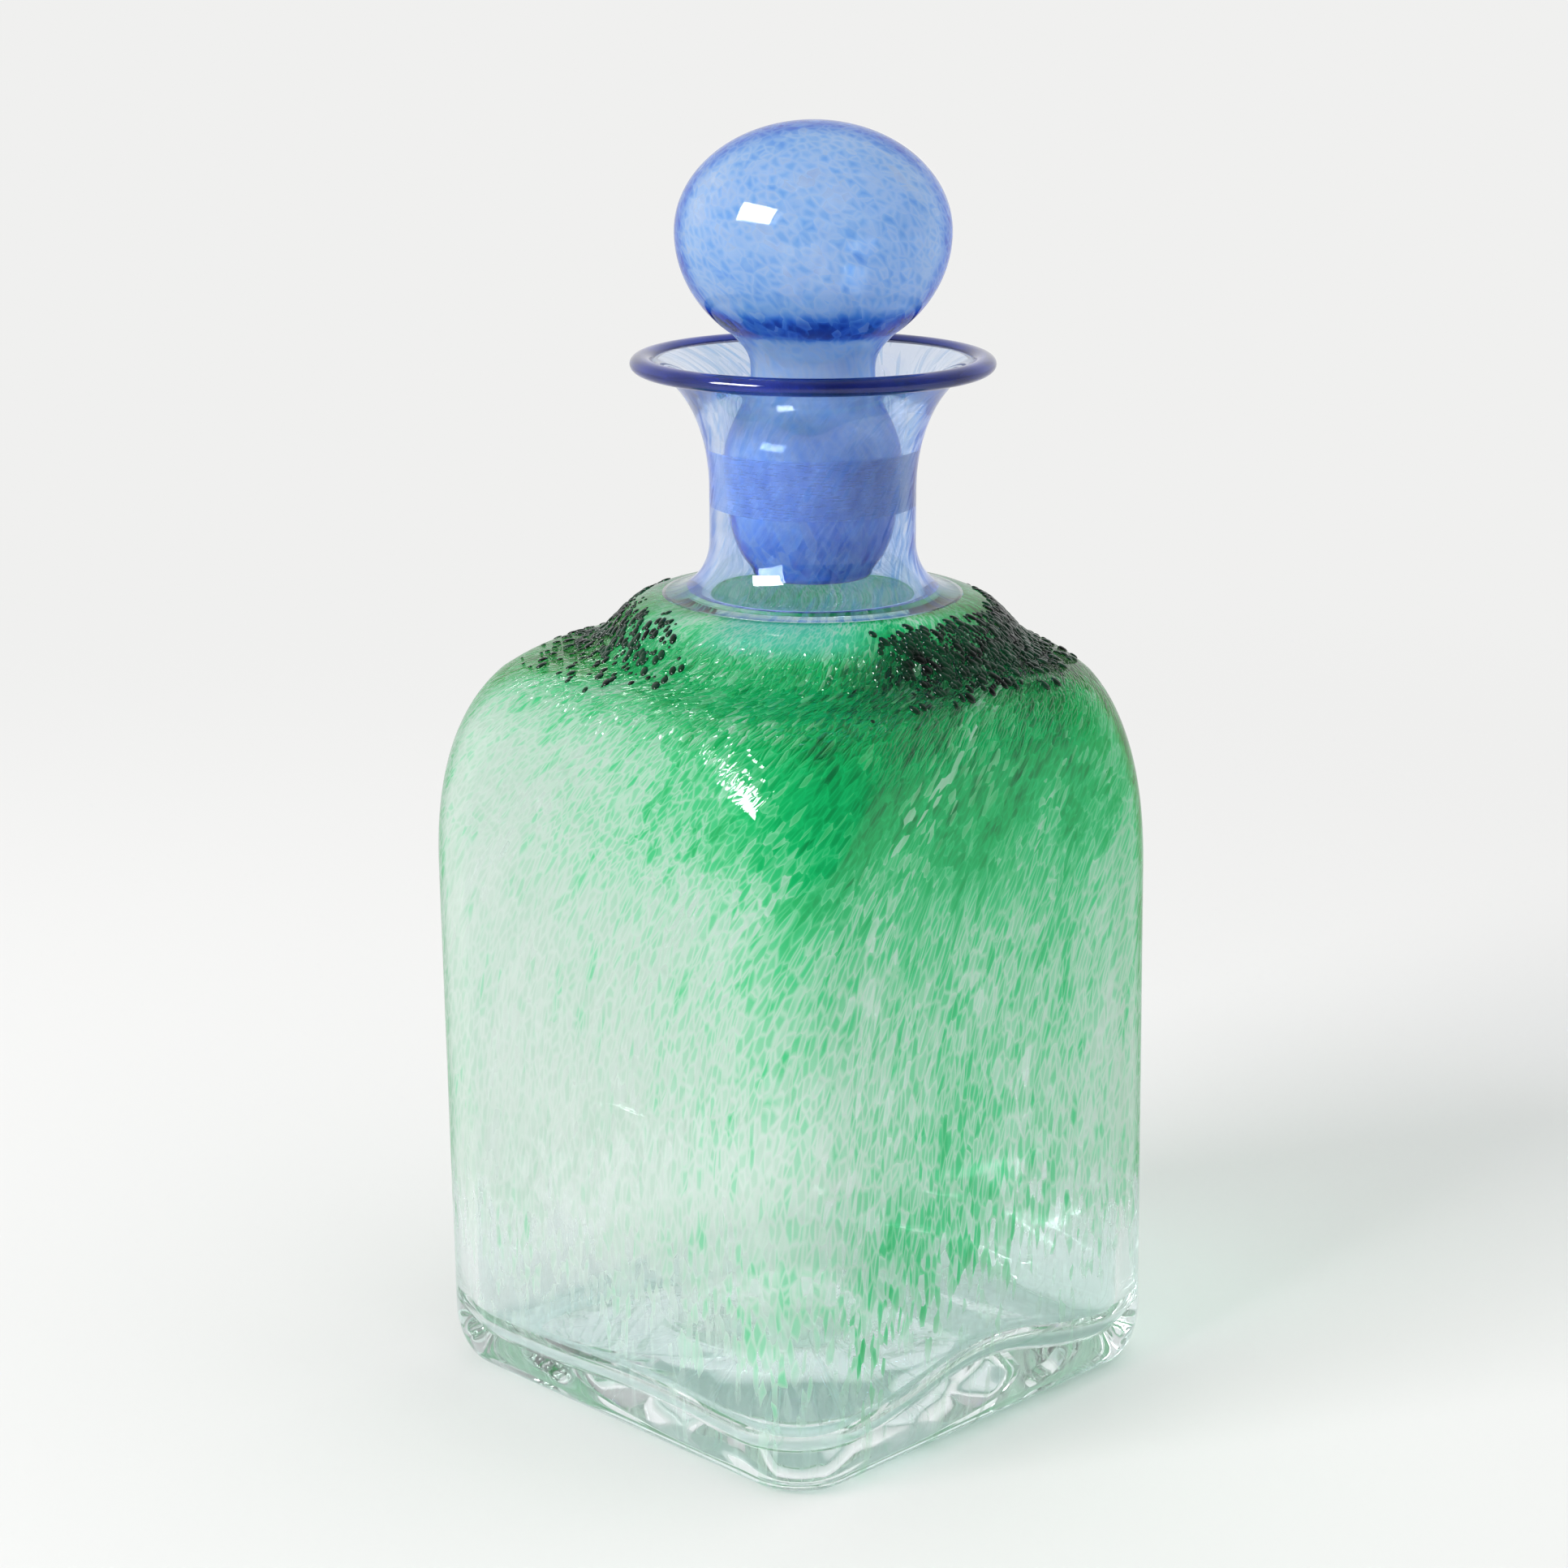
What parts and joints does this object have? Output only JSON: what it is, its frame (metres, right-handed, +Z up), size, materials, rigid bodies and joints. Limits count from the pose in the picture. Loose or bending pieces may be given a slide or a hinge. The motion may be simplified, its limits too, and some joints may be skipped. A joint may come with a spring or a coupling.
{
  "type": "decanter",
  "caption": "Square hand-blown glass decanter with mottled green sides, thick clear base, flared blue neck with a cobalt lip, and a blue ball stopper that lifts out of its ground seat.",
  "frame": {"origin": "centre of the base, on the surface it stands on", "axes": "+Z up, with the vessel's flat sides facing X and Y"},
  "size_m": [0.1059, 0.1059, 0.2435],
  "materials": {
    "mottled_green_glass": "fire-polished clear glass under a mottled green and white coat",
    "dark_green_frit": "half-melted crushed glass, bumpy and glossy",
    "pale_blue_glass": "fire-polished, streaked blue in clear",
    "cobalt_glass": "fire-polished",
    "mottled_blue_glass": "fire-polished, mottled blue, with a ground band on the plug"
  },
  "bodies": {
    "bottle": {"vessel": "mottled_green_glass", "shoulder_frit": "dark_green_frit", "neck": "pale_blue_glass", "lip_wrap": "cobalt_glass"},
    "stopper": {"stopper": "mottled_blue_glass"}
  },
  "joints": [
    {"name": "stopper_lift", "type": "slide", "parent": "bottle", "child": "stopper", "axis": [0, 0, 1], "range_m": [0, 0.07]}
  ]
}
